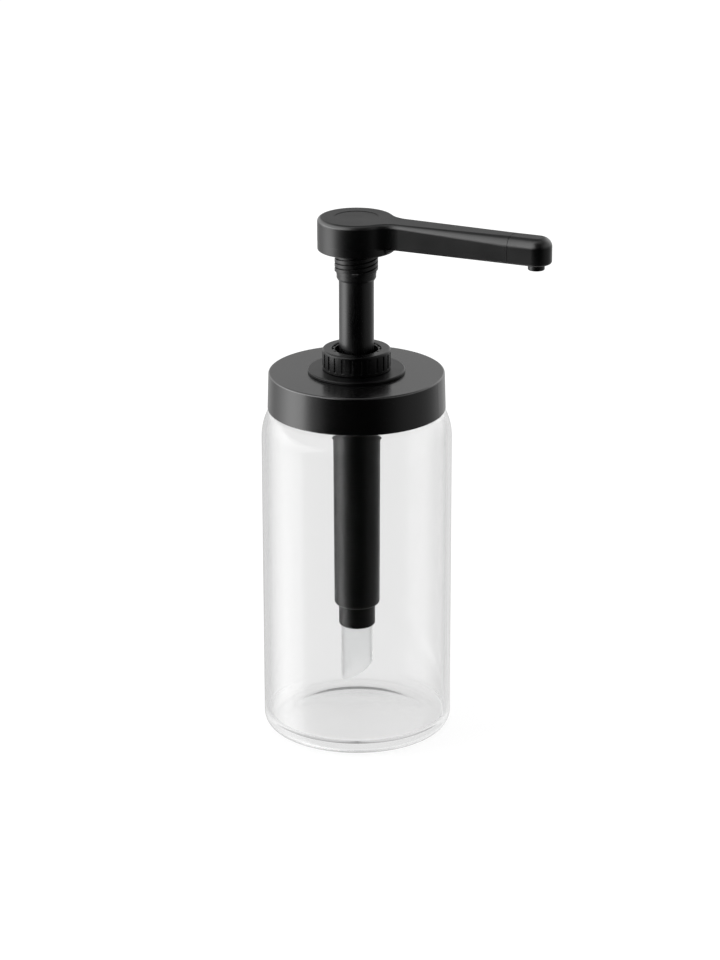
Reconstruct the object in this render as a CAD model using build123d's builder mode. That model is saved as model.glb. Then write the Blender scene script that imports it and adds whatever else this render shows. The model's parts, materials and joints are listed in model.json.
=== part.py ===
"""Dosing dispenser: a glass jar whose screw lid carries a hand pump with a swivelling spout.

Millimetres, +Z up. The origin is on the jar's axis, on the surface that the jar stands on.
The spout arm points along +X, and the pump is at the top of its stroke.
"""
import os
from math import cos, radians, sin, sqrt

from build123d import *

os.makedirs("parts", exist_ok=True)

# Glass jar
jar_diameter = 90.0
jar_wall = 2.2
jar_floor = 5.0
jar_corner_radius = 6.0
floor_corner_radius = 4.5
foot_width = 5.5
push_up_height = 1.6
shoulder_radius = 26.0
shoulder_angle = 28.0
shoulder_edge_radius = 2.5
shoulder_height = 159.7
neck_inset = 7.4
neck_wall = 2.4
neck_root_radius = 0.8
lip_radius = 1.1

# Screw lid
lid_height = 18.0
lid_thread_room = 1.85
lid_draft = 0.55
lid_skirt_wall = 2.0
lid_plate = 2.0
lid_edge = 0.5
lid_top_edge = 0.8
shoulder_gap = 0.3
seal_thickness = 1.2
seal_width = 3.2
seal_rib_width = 0.7
seal_rib_depth = 0.9

# Threaded neck on the lid, with its washer and nut below
flange_radius = 22.9
flange_thickness = 1.5
flange_edge_radius = 0.6
neck_play = 0.2
barrel_wall = 2.35
barrel_depth = 9.5
barrel_chamfer = 0.5
pump_neck_wall = 0.85
pump_neck_height = 5.1
pump_neck_edge = 0.3
washer_thickness = 1.1
washer_width = 6.0
nut_thickness = 4.6
nut_corner_width = 5.1
nut_chamfer = 0.4

# Ribbed collar that clamps the pump
collar_thread_room = 0.95
collar_height = 9.7
collar_plate = 1.3
collar_wall = 2.1
collar_hole_play = 0.35
collar_hole_edge = 0.4
collar_edge_radius = 0.9
collar_flutes = 24
flute_width = 1.3
flute_depth = 0.45
flute_foot = 1.3
flute_head = 1.5

# Pump cylinder, hung by its rim from the threaded neck
gasket_thickness = 1.0
rim_thickness = 1.1
rim_overhang = 0.2
cup_wall = 0.6
chamber_radius = 9.2
cylinder_top_wall = 2.05
cylinder_bottom_wall = 1.65
cylinder_shoulder = 4.0
cylinder_length = 124.5
cylinder_edge_radius = 1.7
socket_wall = 1.15
socket_length = 10.7
socket_edge_radius = 1.1
valve_floor = 2.6
seat_shelf = 2.7

# Lock-down insert in the cylinder's cup, which guides the stem
insert_rim_thickness = 1.1
insert_collar_height = 0.9
insert_wall = 1.0
insert_lock_wall = 1.02
insert_cone = 1.2
insert_step = 0.8
insert_chamfer = 0.5
insert_notches = 16
notch_width = 1.6
notch_depth = 2.2
notch_ledge = 0.25
lock_room = 3.3
pilot_end_room = 2.6
guide_thickness = 2.6
wiper_thickness = 1.2
wiper_width = 0.9

# Dip tube, cut off slantwise
tube_radius = 7.55
tube_wall = 1.1
tube_floor_gap = 17.7
tube_cut_angle = 32.5
tube_cut_turn = 35.0
tube_insertion = 9.0

# Pump stroke, and the further turn down that locks the head
stroke = 40.0
lock_travel = 7.75

# Stem and the head's boss around it, whose thread stands on the boss
stem_annulus = 1.0
stem_wall = 1.6
stem_insertion = 5.2
boss_wall = 1.2
boss_thread_height = 0.75
boss_length = 11.55
pilot_wall = 1.05
pilot_length = 2.85
pilot_taper = 1.0
pilot_end_wall = 0.5

# Head and spout arm
head_radius = 18.15
head_blend_depth = 1.0
pad_inset = 0.05
head_height = 15.4
head_edge_radius = 2.05
head_underside_radius = 0.7
mark_radius = 10.4
mark_depth = 0.15
arm_width = 14.2
arm_height = 12.3
arm_blend_radius = 13.0
arm_root = 25.0
arm_edge_radius = 4.4
arm_underside_radius = 1.3
web_radius = 7.0
web_reach = 4.9
outlet_distance = 89.1
tip_length = 18.9
tip_seam = 0.2
channel_radius = 3.1
channel_headroom = 0.5
spigot_step = 1.0
spigot_length = 7.0
spigot_wall = 1.5
tip_ring_width = 0.8
tip_ring_length = 1.4
nozzle_radius = 3.87
nozzle_wall = 0.85
nozzle_drop = 2.9
nozzle_insertion = 3.2
nozzle_edge_radius = 0.4
nozzle_shoulder = 0.4

# Piston on the foot of the stem
carrier_play = 0.6
carrier_flange = 1.5
carrier_groove_depth = 2.0
piston_seal_height = 5.0
seal_lip_width = 0.3
seal_lip_height = 0.9
seal_groove_depth = 0.9
seal_waist = 0.7
seal_body_width = 1.1
spring_guide_play = 1.2
spring_guide_length = 5.0
spring_guide_chamfer = 0.6
outlet_ball_room = 0.9
outlet_ball_radius = 3.5
outlet_ball_lift = 2.2
stop_thickness = 1.6
cross_bar_width = 1.6

# Return spring and the inlet valve
spring_wire = 1.3
spring_play = 0.8
spring_turns = 14
valve_hole_radius = 2.75
inlet_ball_radius = 4.0
inlet_ball_lift = 2.0
cage_ring = 1.8
cage_play = 0.65
cage_wall = 1.1
cage_cap = 1.3
cage_chamfer = 0.5
cage_windows = 4
cage_window_width = 3.4

# Clearances
seat_gap = 0.1
press_gap = 0.03
running_gap = 0.06
loose_gap = 0.15
ball_gap = 0.06
rest_gap = 0.3
lock_gap = 0.2
cut_overrun = 1.0

# Radii that follow from the bore of the pump, from the stem outwards
stem_radius = chamber_radius - stem_annulus
stem_bore_radius = stem_radius - stem_wall
pilot_radius = stem_radius + pilot_wall
boss_radius = stem_radius + boss_wall
lock_radius = boss_radius + boss_thread_height + loose_gap
insert_radius = lock_radius + insert_lock_wall
cup_radius = insert_radius + press_gap + cup_wall
neck_bore_radius = cup_radius + neck_play
pump_neck_radius = neck_bore_radius + pump_neck_wall
barrel_radius = neck_bore_radius + barrel_wall
rim_radius = pump_neck_radius + rim_overhang
nut_radius = barrel_radius + nut_corner_width
collar_radius = pump_neck_radius + collar_thread_room + collar_wall
collar_hole_radius = insert_radius + press_gap + collar_hole_play
cylinder_top_radius = chamber_radius + cylinder_top_wall
cylinder_bottom_radius = chamber_radius + cylinder_bottom_wall
socket_radius = tube_radius + socket_wall
spring_radius = chamber_radius - spring_play - spring_wire / 2
spring_guide_radius = spring_radius - spring_wire / 2 - spring_guide_play
carrier_flange_radius = chamber_radius - carrier_play
carrier_groove_radius = carrier_flange_radius - carrier_groove_depth
ball_room_radius = outlet_ball_radius + outlet_ball_room
spigot_radius = channel_radius + spigot_step
spigot_bore_radius = spigot_radius - spigot_wall
nozzle_bore_radius = nozzle_radius - nozzle_wall

# Heights that follow from the sizes above
jar_radius = jar_diameter / 2
neck_outer_radius = jar_radius - neck_inset
lid_bottom = shoulder_height + shoulder_gap
lid_top = lid_bottom + lid_height
lid_top_radius = neck_outer_radius + lid_thread_room + lid_skirt_wall
lid_bottom_radius = lid_top_radius + lid_draft
plate_underside = lid_top - lid_plate
mouth = plate_underside - seal_thickness - 2 * seat_gap
flange_top = lid_top + seat_gap + flange_thickness
pump_neck_top = flange_top + pump_neck_height
gasket_bottom = pump_neck_top + seat_gap
rim_bottom = gasket_bottom + gasket_thickness + seat_gap
rim_top = rim_bottom + rim_thickness
insert_rim_top = rim_top + insert_rim_thickness
collar_plate_bottom = insert_rim_top + seat_gap
collar_top = collar_plate_bottom + collar_plate
collar_bottom = collar_top - collar_height
press_travel = stroke + lock_travel
head_bottom = collar_top + lock_gap + press_travel
stem_top = head_bottom + stem_insertion
lock_depth = boss_length + insert_rim_top - collar_top - lock_gap + lock_room
pilot_depth = lock_depth - lock_room + pilot_length + pilot_end_room
insert_floor = insert_rim_top - pilot_depth
guide_bottom = insert_floor - guide_thickness
piston_top = guide_bottom - rest_gap
cylinder_bottom = rim_bottom - cylinder_length
chamber_floor = cylinder_bottom + valve_floor
tube_tip = jar_floor + tube_floor_gap
head_top = head_bottom + head_height
arm_bottom = head_top - arm_height
arm_end = outlet_distance + arm_width / 2
tip_start = arm_end - tip_length
channel_height = head_top - arm_height / 2


def ring(bottom, top, outer, inner):
    """A flat ring about the jar's axis, made as its own part."""
    with BuildPart() as body:
        with BuildSketch(Plane.XY.offset(bottom)):
            Circle(outer)
            Circle(inner, mode=Mode.SUBTRACT)
        extrude(amount=top - bottom)
    return body


def ball(centre_height, radius):
    """A valve ball on the jar's axis."""
    with BuildPart() as body:
        with BuildSketch(Plane.XZ):
            with BuildLine():
                Line((0, centre_height - radius), (0, centre_height + radius))
                ThreePointArc(
                    (0, centre_height + radius),
                    (radius, centre_height),
                    (0, centre_height - radius),
                )
            make_face()
        revolve(axis=Axis.Z)
    return body


def save(builder, name):
    """Label a finished piece with its node's name and write it as STEP."""
    builder.part.label = name
    export_step(builder.part, f"parts/{name}.step")


# Glass jar: a blown body with a rolled shoulder, a lip and a pushed-up foot
jar_inner_radius = jar_radius - jar_wall
neck_inner_radius = neck_outer_radius - neck_wall
shoulder_rise = shoulder_radius * sin(radians(shoulder_angle))
edge_rise = shoulder_edge_radius * (1 - sin(radians(shoulder_angle)))
shoulder_start = shoulder_height - shoulder_rise - edge_rise

with BuildPart() as glass_jar:
    with BuildSketch(Plane.XZ):
        with BuildLine():
            foot_radius = jar_radius - jar_corner_radius
            foot_edge = (foot_radius - foot_width, 0)
            underside = TangentArc((0, push_up_height), foot_edge, tangent=(1, 0))
            foot = Line(underside @ 1, (foot_radius, 0))
            corner = JernArc(foot @ 1, (1, 0), jar_corner_radius, 90)
            side = Line(corner @ 1, (jar_radius, shoulder_start))
            shoulder = JernArc(side @ 1, (0, 1), shoulder_radius, shoulder_angle)
            edge = JernArc(shoulder @ 1, shoulder % 1, shoulder_edge_radius, 90 - shoulder_angle)
            ledge = Line(edge @ 1, (neck_outer_radius + neck_root_radius, shoulder_height))
            root = JernArc(ledge @ 1, (-1, 0), neck_root_radius, -90)
            neck = Line(root @ 1, (neck_outer_radius, mouth - lip_radius))
            lip = JernArc(neck @ 1, (0, 1), lip_radius, 90)
            rim = Line(lip @ 1, (neck_inner_radius + lip_radius, mouth))
            inner_lip = JernArc(rim @ 1, (-1, 0), lip_radius, 90)
            throat_foot = (neck_inner_radius, shoulder_height - jar_wall + neck_root_radius)
            throat = Line(inner_lip @ 1, throat_foot)
            throat_edge = JernArc(throat @ 1, (0, -1), neck_root_radius, -90)
            inner_shoulder_radius = shoulder_radius - jar_wall
            inner_top = (
                jar_inner_radius - inner_shoulder_radius * (1 - cos(radians(shoulder_angle))),
                shoulder_start + inner_shoulder_radius * sin(radians(shoulder_angle)),
            )
            Line(throat_edge @ 1, inner_top)
            inner_mid = (
                jar_inner_radius - inner_shoulder_radius * (1 - cos(radians(shoulder_angle / 2))),
                shoulder_start + inner_shoulder_radius * sin(radians(shoulder_angle / 2)),
            )
            inner_shoulder = ThreePointArc(inner_top, inner_mid, (jar_inner_radius, shoulder_start))
            inner_side = Line(inner_shoulder @ 1, (jar_inner_radius, jar_floor + floor_corner_radius))
            inner_corner = JernArc(inner_side @ 1, (0, -1), floor_corner_radius, -90)
            floor = Line(inner_corner @ 1, (0, jar_floor))
            Line(floor @ 1, (0, push_up_height))
        make_face()
    revolve(axis=Axis.Z)
save(glass_jar, "glass_jar")

# Screw lid: a drafted skirt under a flat plate, with a rib that holds the seal
with BuildPart() as screw_lid:
    with BuildSketch(Plane.XZ):
        with BuildLine():
            Polyline(
                (barrel_radius + loose_gap, plate_underside),
                (barrel_radius + loose_gap, lid_top),
                (lid_top_radius, lid_top),
                (lid_bottom_radius, lid_bottom),
                (lid_bottom_radius - lid_skirt_wall, lid_bottom),
                (lid_top_radius - lid_skirt_wall, plate_underside),
                close=True,
            )
        make_face()
    revolve(axis=Axis.Z)
    with BuildSketch(Plane.XY.offset(plate_underside)):
        rib_outer = neck_inner_radius - loose_gap
        Circle(rib_outer)
        Circle(rib_outer - seal_rib_width, mode=Mode.SUBTRACT)
    extrude(amount=-seal_rib_depth)
    top_rim = screw_lid.edges().filter_by(GeomType.CIRCLE).group_by(Axis.Z)[-1]
    fillet(top_rim.sort_by(SortBy.RADIUS)[-1], radius=lid_top_edge)
    bottom_rim = screw_lid.edges().filter_by(GeomType.CIRCLE).group_by(Axis.Z)[0]
    fillet(bottom_rim, radius=lid_edge)
save(screw_lid, "screw_lid")

# Silicone seal between the lid's plate and the jar's lip
lid_seal = ring(
    mouth + seat_gap,
    plate_underside - seat_gap,
    neck_inner_radius + loose_gap + seal_width,
    neck_inner_radius + loose_gap,
)
save(lid_seal, "lid_seal")

# Threaded neck: a flange on the lid, a neck above it and a barrel through the lid's hole
with BuildPart() as neck_adapter:
    with BuildSketch(Plane.XY.offset(lid_top + seat_gap)):
        Circle(flange_radius)
    extrude(amount=flange_thickness)
    fillet(neck_adapter.edges().group_by(Axis.Z)[-1], radius=flange_edge_radius)
    with BuildSketch(Plane.XY.offset(flange_top)):
        Circle(pump_neck_radius)
    extrude(amount=pump_neck_height)
    fillet(neck_adapter.edges().group_by(Axis.Z)[-1], radius=pump_neck_edge)
    with BuildSketch(Plane.XY.offset(lid_top + seat_gap)):
        Circle(barrel_radius)
    extrude(amount=-barrel_depth - seat_gap)
    chamfer(neck_adapter.edges().group_by(Axis.Z)[0], length=barrel_chamfer)
    with BuildSketch(Plane.XY.offset(flange_top + pump_neck_height)):
        Circle(neck_bore_radius)
    extrude(amount=-pump_neck_height - flange_thickness - barrel_depth - seat_gap, mode=Mode.SUBTRACT)
save(neck_adapter, "neck_adapter")

# Washer and nut that hold the threaded neck from below
washer_top = plate_underside - seat_gap
washer_bottom = washer_top - washer_thickness
adapter_washer = ring(
    washer_bottom, washer_top, barrel_radius + loose_gap + washer_width, barrel_radius + loose_gap
)
save(adapter_washer, "adapter_washer")

with BuildPart() as adapter_nut:
    with BuildSketch(Plane.XY.offset(washer_bottom - seat_gap)):
        RegularPolygon(nut_radius, 6, major_radius=True)
        Circle(barrel_radius + press_gap, mode=Mode.SUBTRACT)
    extrude(amount=-nut_thickness)
    chamfer(adapter_nut.edges().filter_by(GeomType.CIRCLE).group_by(Axis.Z)[0], length=nut_chamfer)
save(adapter_nut, "adapter_nut")

# Collar: a fluted union nut with a round hole for the pump
with BuildPart() as collar:
    with BuildSketch(Plane.XY.offset(collar_bottom)):
        Circle(collar_radius)
    extrude(amount=collar_height)
    fillet(collar.edges().group_by(Axis.Z)[-1], radius=collar_edge_radius)
    with BuildSketch(Plane.XY.offset(collar_bottom)):
        Circle(collar_radius - collar_wall)
    extrude(amount=collar_height - collar_plate, mode=Mode.SUBTRACT)
    with BuildSketch(Plane.XY.offset(collar_bottom)):
        Circle(collar_hole_radius)
    extrude(amount=collar_height, mode=Mode.SUBTRACT)
    hole_rim = collar.edges().filter_by(GeomType.CIRCLE).group_by(Axis.Z)[-1]
    fillet(hole_rim.sort_by(SortBy.RADIUS)[0], radius=collar_hole_edge)
    with BuildSketch(Plane.XY.offset(collar_bottom + flute_foot)):
        with PolarLocations(collar_radius, collar_flutes):
            Rectangle(2 * flute_depth, flute_width)
    extrude(amount=collar_height - flute_foot - flute_head, mode=Mode.SUBTRACT)
save(collar, "collar")

# Gasket between the threaded neck and the cylinder's rim
neck_gasket = ring(gasket_bottom, gasket_bottom + gasket_thickness, rim_radius, cup_radius + loose_gap)
save(neck_gasket, "neck_gasket")

# Pump cylinder: a rim and a cup at the top, a drafted barrel, and a socket for the dip tube
cup_floor = guide_bottom - seat_gap
socket_floor = cylinder_bottom - socket_length + tube_insertion + seat_gap
seat_height = chamber_floor
seat_radius = chamber_radius - seat_shelf
floor_height = seat_height + seat_radius - valve_hole_radius

with BuildPart() as pump_cylinder:
    with BuildSketch(Plane.XZ):
        with BuildLine():
            Polyline(
                (0, cylinder_bottom - socket_length),
                (socket_radius, cylinder_bottom - socket_length),
                (socket_radius, cylinder_bottom),
                (cylinder_bottom_radius, cylinder_bottom),
                (cylinder_top_radius, cup_floor - cylinder_shoulder),
                (cup_radius, cup_floor),
                (cup_radius, rim_bottom),
                (rim_radius, rim_bottom),
                (rim_radius, rim_top),
                (0, rim_top),
                close=True,
            )
        make_face()
    revolve(axis=Axis.Z)
    outside = pump_cylinder.edges().filter_by(GeomType.CIRCLE)
    step_edge = outside.filter_by_position(Axis.Z, cylinder_bottom - 0.01, cylinder_bottom + 0.01)
    fillet(step_edge.sort_by(SortBy.RADIUS)[-1], radius=cylinder_edge_radius)
    fillet(outside.group_by(Axis.Z)[0], radius=socket_edge_radius)
    with BuildSketch(Plane.XZ):
        with BuildLine():
            Polyline(
                (0, socket_floor),
                (valve_hole_radius, socket_floor),
                (valve_hole_radius, seat_height),
                (seat_radius, floor_height),
                (chamber_radius, floor_height),
                (chamber_radius, cup_floor),
                (cup_radius - cup_wall, cup_floor),
                (cup_radius - cup_wall, rim_top),
                (0, rim_top),
                close=True,
            )
        make_face()
    revolve(axis=Axis.Z, mode=Mode.SUBTRACT)
    with BuildSketch(Plane.XY.offset(socket_floor)):
        Circle(tube_radius + press_gap)
    extrude(amount=-socket_length, mode=Mode.SUBTRACT)
save(pump_cylinder, "pump_cylinder")

# Dip tube: a translucent tube pushed into the socket, its lower end cut slantwise
tube_top = socket_floor - seat_gap
tube_middle = tube_tip + tube_radius * sin(radians(tube_cut_angle)) / cos(radians(tube_cut_angle))
with BuildPart() as dip_tube:
    with BuildSketch(Plane.XY.offset(tube_top)):
        Circle(tube_radius)
        Circle(tube_radius - tube_wall, mode=Mode.SUBTRACT)
    extrude(amount=tube_tip - tube_top)
    cut_lean = (
        -sin(radians(tube_cut_angle)) * cos(radians(tube_cut_turn)),
        -sin(radians(tube_cut_angle)) * sin(radians(tube_cut_turn)),
        cos(radians(tube_cut_angle)),
    )
    split(bisect_by=Plane(origin=(0, 0, tube_middle), z_dir=cut_lean), keep=Keep.TOP)
save(dip_tube, "dip_tube")

# Lock-down insert: takes the head's thread, guides the stem and holds the wiper
pilot_room = pilot_radius + loose_gap
insert_top = insert_rim_top + insert_collar_height
with BuildPart() as lock_insert:
    with BuildSketch(Plane.XZ):
        with BuildLine():
            Polyline(
                (stem_radius + running_gap, guide_bottom),
                (pilot_room + insert_wall - insert_chamfer, guide_bottom),
                (pilot_room + insert_wall, guide_bottom + insert_chamfer),
                (pilot_room + insert_wall, insert_rim_top - lock_depth - insert_cone),
                (insert_radius, insert_rim_top - lock_depth),
                (insert_radius, rim_top),
                (rim_radius, rim_top),
                (rim_radius, insert_rim_top),
                (insert_radius, insert_rim_top),
                (insert_radius, insert_top),
                (lock_radius, insert_top),
                (lock_radius, insert_rim_top - lock_depth),
                (pilot_room, insert_rim_top - lock_depth - insert_step),
                (pilot_room, insert_floor),
                (stem_radius + running_gap + wiper_width, insert_floor),
                (stem_radius + running_gap + wiper_width, insert_floor - wiper_thickness),
                (stem_radius + running_gap, insert_floor - wiper_thickness),
                close=True,
            )
        make_face()
    revolve(axis=Axis.Z)
    with BuildSketch(Plane.XY.offset(insert_top)):
        with PolarLocations(insert_radius, insert_notches):
            Rectangle(2 * (insert_lock_wall - notch_ledge), notch_width)
    extrude(amount=-notch_depth, mode=Mode.SUBTRACT)
save(lock_insert, "lock_insert")

# Wiper ring that scrapes the stem
stem_wiper = ring(
    insert_floor - wiper_thickness,
    insert_floor - seat_gap,
    stem_radius + running_gap + wiper_width - press_gap,
    stem_radius + running_gap,
)
save(stem_wiper, "stem_wiper")

# Stem: the hollow rod between the head and the piston
pump_stem = ring(piston_top, stem_top, stem_radius, stem_bore_radius)
save(pump_stem, "pump_stem")


def arm_section(place, edge_radius):
    """The arm's cross-section on a plane across it, with its top edges rounded."""
    with BuildSketch(place) as section:
        with Locations((0, channel_height)):
            Rectangle(arm_width, arm_height)
        fillet(section.vertices().group_by(Axis.Y)[-1], radius=edge_radius)
        fillet(section.vertices().group_by(Axis.Y)[0], radius=arm_underside_radius)
    return section.sketch


# Head: a round press pad with a spout arm and a boss around the stem
boss_bottom = head_bottom - boss_length
pilot_bottom = boss_bottom - pilot_length
with BuildPart() as pump_head:
    with BuildSketch(Plane.XY.offset(arm_bottom)) as outline:
        Circle(head_radius)
        with Locations((head_radius, 0)):
            Rectangle(2 * head_radius, arm_width)
        fillet(outline.vertices().filter_by_position(Axis.X, 1, head_radius), radius=arm_blend_radius)
    extrude(amount=arm_height)
    fillet(pump_head.edges().group_by(Axis.Z)[-1], radius=head_edge_radius)
    fillet(pump_head.edges().group_by(Axis.Z)[0], radius=arm_underside_radius)
    split(bisect_by=Plane.YZ.offset(arm_root), keep=Keep.BOTTOM)
    loft(
        sections=[
            arm_section(Plane.YZ.offset(arm_root), head_edge_radius),
            arm_section(Plane.YZ.offset(tip_start), arm_edge_radius),
        ]
    )
    with BuildSketch(Plane.XZ):
        with BuildLine():
            pad_radius = head_radius - pad_inset
            pad_head = arm_bottom + arm_underside_radius + head_blend_depth
            pad_floor = Line((0, head_bottom), (pad_radius - head_underside_radius, head_bottom))
            pad_edge = JernArc(pad_floor @ 1, (1, 0), head_underside_radius, 90)
            pad_side = Line(pad_edge @ 1, (pad_radius, pad_head))
            pad_top = Line(pad_side @ 1, (0, pad_head))
            Line(pad_top @ 1, pad_floor @ 0)
        make_face()
    revolve(axis=Axis.Z)
    with BuildSketch(Plane.XZ):
        with BuildLine():
            web_floor = head_bottom + head_underside_radius
            web_end = head_radius + web_reach
            web_drop = web_radius + web_floor - arm_bottom
            web_foot = web_end - sqrt(web_radius**2 - web_drop**2)
            web_arc = RadiusArc((web_end, arm_bottom), (web_foot, web_floor), -web_radius)
            Polyline(
                web_arc @ 1,
                (arm_width / 2, web_floor),
                (arm_width / 2, channel_height - channel_radius),
                (web_end, channel_height - channel_radius),
                web_arc @ 0,
            )
        make_face()
    extrude(amount=arm_width / 2 - arm_underside_radius, both=True)
    with BuildSketch(Plane.XY.offset(head_top)):
        Circle(mark_radius)
    extrude(amount=-mark_depth, mode=Mode.SUBTRACT)
    with BuildSketch(Plane.XZ):
        with BuildLine():
            Polyline(
                (0, head_bottom + head_blend_depth),
                (boss_radius, head_bottom + head_blend_depth),
                (boss_radius, boss_bottom + boss_radius - pilot_radius),
                (pilot_radius, boss_bottom),
                (pilot_radius, pilot_bottom + pilot_taper),
                (stem_radius + pilot_end_wall, pilot_bottom),
                (0, pilot_bottom),
                close=True,
            )
        make_face()
    revolve(axis=Axis.Z)
    with BuildSketch(Plane.XY.offset(pilot_bottom)):
        Circle(stem_radius + press_gap)
    extrude(amount=stem_top + seat_gap - pilot_bottom, mode=Mode.SUBTRACT)
    with BuildSketch(Plane.XY.offset(stem_top)):
        Circle(stem_bore_radius)
    extrude(amount=channel_height + channel_radius + channel_headroom - stem_top, mode=Mode.SUBTRACT)
    with BuildSketch(Plane.YZ):
        with Locations((0, channel_height)):
            Circle(channel_radius)
    extrude(amount=tip_start, mode=Mode.SUBTRACT)
    with BuildSketch(Plane.YZ.offset(tip_start)):
        with Locations((0, channel_height)):
            Circle(spigot_radius + press_gap)
    extrude(amount=-spigot_length - seat_gap, mode=Mode.SUBTRACT)
save(pump_head, "pump_head")

# Spout tip: the closed end of the arm, plugged into the arm's channel
with BuildPart() as spout_tip:
    with BuildSketch(Plane.XY.offset(arm_bottom)):
        with Locations((outlet_distance - tip_length, 0)):
            Rectangle(2 * tip_length, arm_width)
        with Locations((outlet_distance, 0)):
            Circle(arm_width / 2)
    extrude(amount=arm_height)
    fillet(spout_tip.edges().group_by(Axis.Z)[-1], radius=arm_edge_radius)
    fillet(spout_tip.edges().group_by(Axis.Z)[0], radius=arm_underside_radius)
    split(bisect_by=Plane.YZ.offset(tip_start + tip_seam), keep=Keep.TOP)
    with BuildSketch(Plane.YZ.offset(tip_start + tip_seam)):
        with Locations((0, channel_height)):
            Circle(spigot_radius)
    extrude(amount=-spigot_length)
    with BuildSketch(Plane.YZ.offset(tip_start - (spigot_length + tip_ring_length) / 2)):
        with Locations((0, channel_height)):
            Circle(spigot_radius + cut_overrun)
            Circle(spigot_radius - tip_ring_width, mode=Mode.SUBTRACT)
    extrude(amount=tip_ring_length, mode=Mode.SUBTRACT)
    with BuildSketch(Plane.YZ.offset(tip_start + tip_seam - spigot_length)):
        with Locations((0, channel_height)):
            Circle(spigot_bore_radius)
    extrude(amount=outlet_distance - tip_start - tip_seam + spigot_length, mode=Mode.SUBTRACT)
    with BuildSketch(Plane.XY.offset(arm_bottom)):
        with Locations((outlet_distance, 0)):
            Circle(nozzle_bore_radius)
    extrude(amount=channel_height - arm_bottom, mode=Mode.SUBTRACT)
    with BuildSketch(Plane.XY.offset(arm_bottom)):
        with Locations((outlet_distance, 0)):
            Circle(nozzle_radius - nozzle_shoulder + press_gap)
    extrude(amount=nozzle_insertion, mode=Mode.SUBTRACT)
save(spout_tip, "spout_tip")

# Ring seal around the tip's spigot
with BuildPart() as tip_ring:
    with BuildSketch(Plane.YZ.offset(tip_start - spigot_length / 2 - tip_ring_length / 2 + seat_gap)):
        with Locations((0, channel_height)):
            Circle(spigot_radius)
            Circle(spigot_radius - tip_ring_width + press_gap, mode=Mode.SUBTRACT)
    extrude(amount=tip_ring_length - 2 * seat_gap)
save(tip_ring, "tip_ring")

# Outlet nozzle pushed into the underside of the tip
with BuildPart() as outlet_nozzle:
    with BuildSketch(Plane.XY.offset(arm_bottom - seat_gap)):
        with Locations((outlet_distance, 0)):
            Circle(nozzle_radius)
    extrude(amount=-nozzle_drop + seat_gap)
    fillet(outlet_nozzle.edges().group_by(Axis.Z)[0], radius=nozzle_edge_radius)
    with BuildSketch(Plane.XY.offset(arm_bottom - seat_gap)):
        with Locations((outlet_distance, 0)):
            Circle(nozzle_radius - nozzle_shoulder)
    extrude(amount=nozzle_insertion)
    with BuildSketch(Plane.XY.offset(arm_bottom - nozzle_drop)):
        with Locations((outlet_distance, 0)):
            Circle(nozzle_bore_radius)
    extrude(amount=nozzle_drop + nozzle_insertion, mode=Mode.SUBTRACT)
save(outlet_nozzle, "outlet_nozzle")

# Piston carrier: plugs into the stem, holds the piston seal and is the outlet valve's seat
groove_top = piston_top - carrier_flange
groove_bottom = groove_top - piston_seal_height
spring_top = groove_bottom - carrier_flange
carrier_bottom = spring_top - spring_guide_length
outlet_seat = piston_top - (ball_room_radius - valve_hole_radius)
outlet_ball_height = outlet_seat - valve_hole_radius + sqrt(2) * (outlet_ball_radius + ball_gap)
stop_bottom = outlet_ball_height + outlet_ball_radius + outlet_ball_lift + ball_gap
plug_top = stop_bottom - seat_gap
with BuildPart() as piston_carrier:
    with BuildSketch(Plane.XZ):
        with BuildLine():
            Polyline(
                (valve_hole_radius, carrier_bottom),
                (spring_guide_radius - spring_guide_chamfer, carrier_bottom),
                (spring_guide_radius, carrier_bottom + spring_guide_chamfer),
                (spring_guide_radius, spring_top),
                (carrier_flange_radius, spring_top),
                (carrier_flange_radius, groove_bottom),
                (carrier_groove_radius, groove_bottom),
                (carrier_groove_radius, groove_top),
                (carrier_flange_radius, groove_top),
                (carrier_flange_radius, piston_top - seat_gap),
                (stem_bore_radius - running_gap, piston_top - seat_gap),
                (stem_bore_radius - running_gap, plug_top),
                (ball_room_radius, plug_top),
                (ball_room_radius, outlet_seat + ball_room_radius - valve_hole_radius),
                (valve_hole_radius, outlet_seat),
                close=True,
            )
        make_face()
    revolve(axis=Axis.Z)
save(piston_carrier, "piston_carrier")

# Piston seal: a cup with a lip above and below
seal_lip_radius = chamber_radius - press_gap
with BuildPart() as piston_seal:
    with BuildSketch(Plane.XZ):
        with BuildLine():
            Polyline(
                (carrier_groove_radius + press_gap, groove_bottom + seat_gap),
                (seal_lip_radius - seal_body_width, groove_bottom + seat_gap),
                (seal_lip_radius - seal_waist, groove_bottom + seat_gap + seal_groove_depth),
                (seal_lip_radius - seal_lip_width, groove_bottom + seat_gap),
                (seal_lip_radius, groove_bottom + seat_gap),
                (seal_lip_radius, groove_bottom + seal_lip_height),
                (seal_lip_radius - seal_waist, groove_bottom + 2 * seal_lip_height),
                (seal_lip_radius - seal_waist, groove_top - 2 * seal_lip_height),
                (seal_lip_radius, groove_top - seal_lip_height),
                (seal_lip_radius, groove_top - seat_gap),
                (seal_lip_radius - seal_lip_width, groove_top - seat_gap),
                (seal_lip_radius - seal_waist, groove_top - seat_gap - seal_groove_depth),
                (seal_lip_radius - seal_body_width, groove_top - seat_gap),
                (carrier_groove_radius + press_gap, groove_top - seat_gap),
                close=True,
            )
        make_face()
    revolve(axis=Axis.Z)
save(piston_seal, "piston_seal")

# Outlet ball on its seat, and the stop above it
outlet_ball = ball(outlet_ball_height, outlet_ball_radius)
save(outlet_ball, "outlet_ball")

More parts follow.
